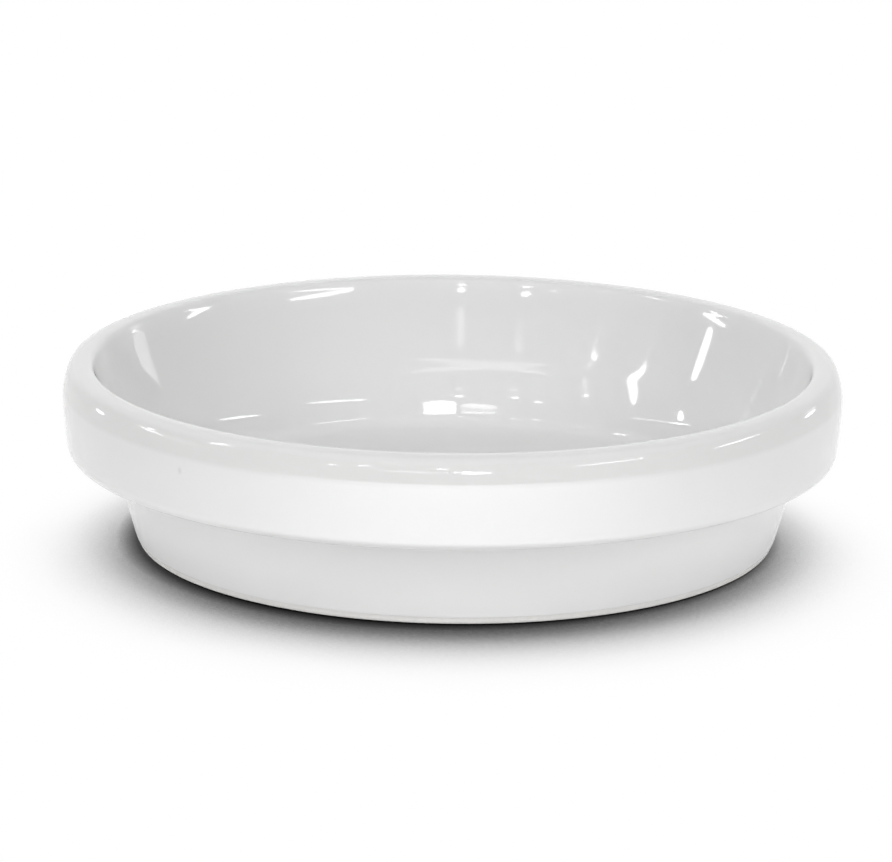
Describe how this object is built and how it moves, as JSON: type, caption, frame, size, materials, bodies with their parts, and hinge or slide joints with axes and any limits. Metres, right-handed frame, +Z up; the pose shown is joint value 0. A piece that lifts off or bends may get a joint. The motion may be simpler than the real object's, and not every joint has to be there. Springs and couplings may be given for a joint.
{
  "type": "plant saucer",
  "caption": "Round white glazed ceramic plant saucer with a thick collar round the rim, a stepped-in tapering wall, a flat floor and a bare foot ring.",
  "frame": {"origin": "centre of the plane that the foot ring stands on", "axes": "+Z up along the axis of turning, out of the mouth; X and Y are free, as the saucer is round"},
  "size_m": [0.16, 0.16, 0.0375],
  "materials": {
    "bisque_clay": "unglazed fired white clay, matt and fine grained",
    "white_glaze": "glossy white glaze, slightly uneven"
  },
  "bodies": {
    "root": {"clay_body": "bisque_clay", "glaze_coat": "white_glaze", "base_glaze": "white_glaze"}
  },
  "joints": []
}
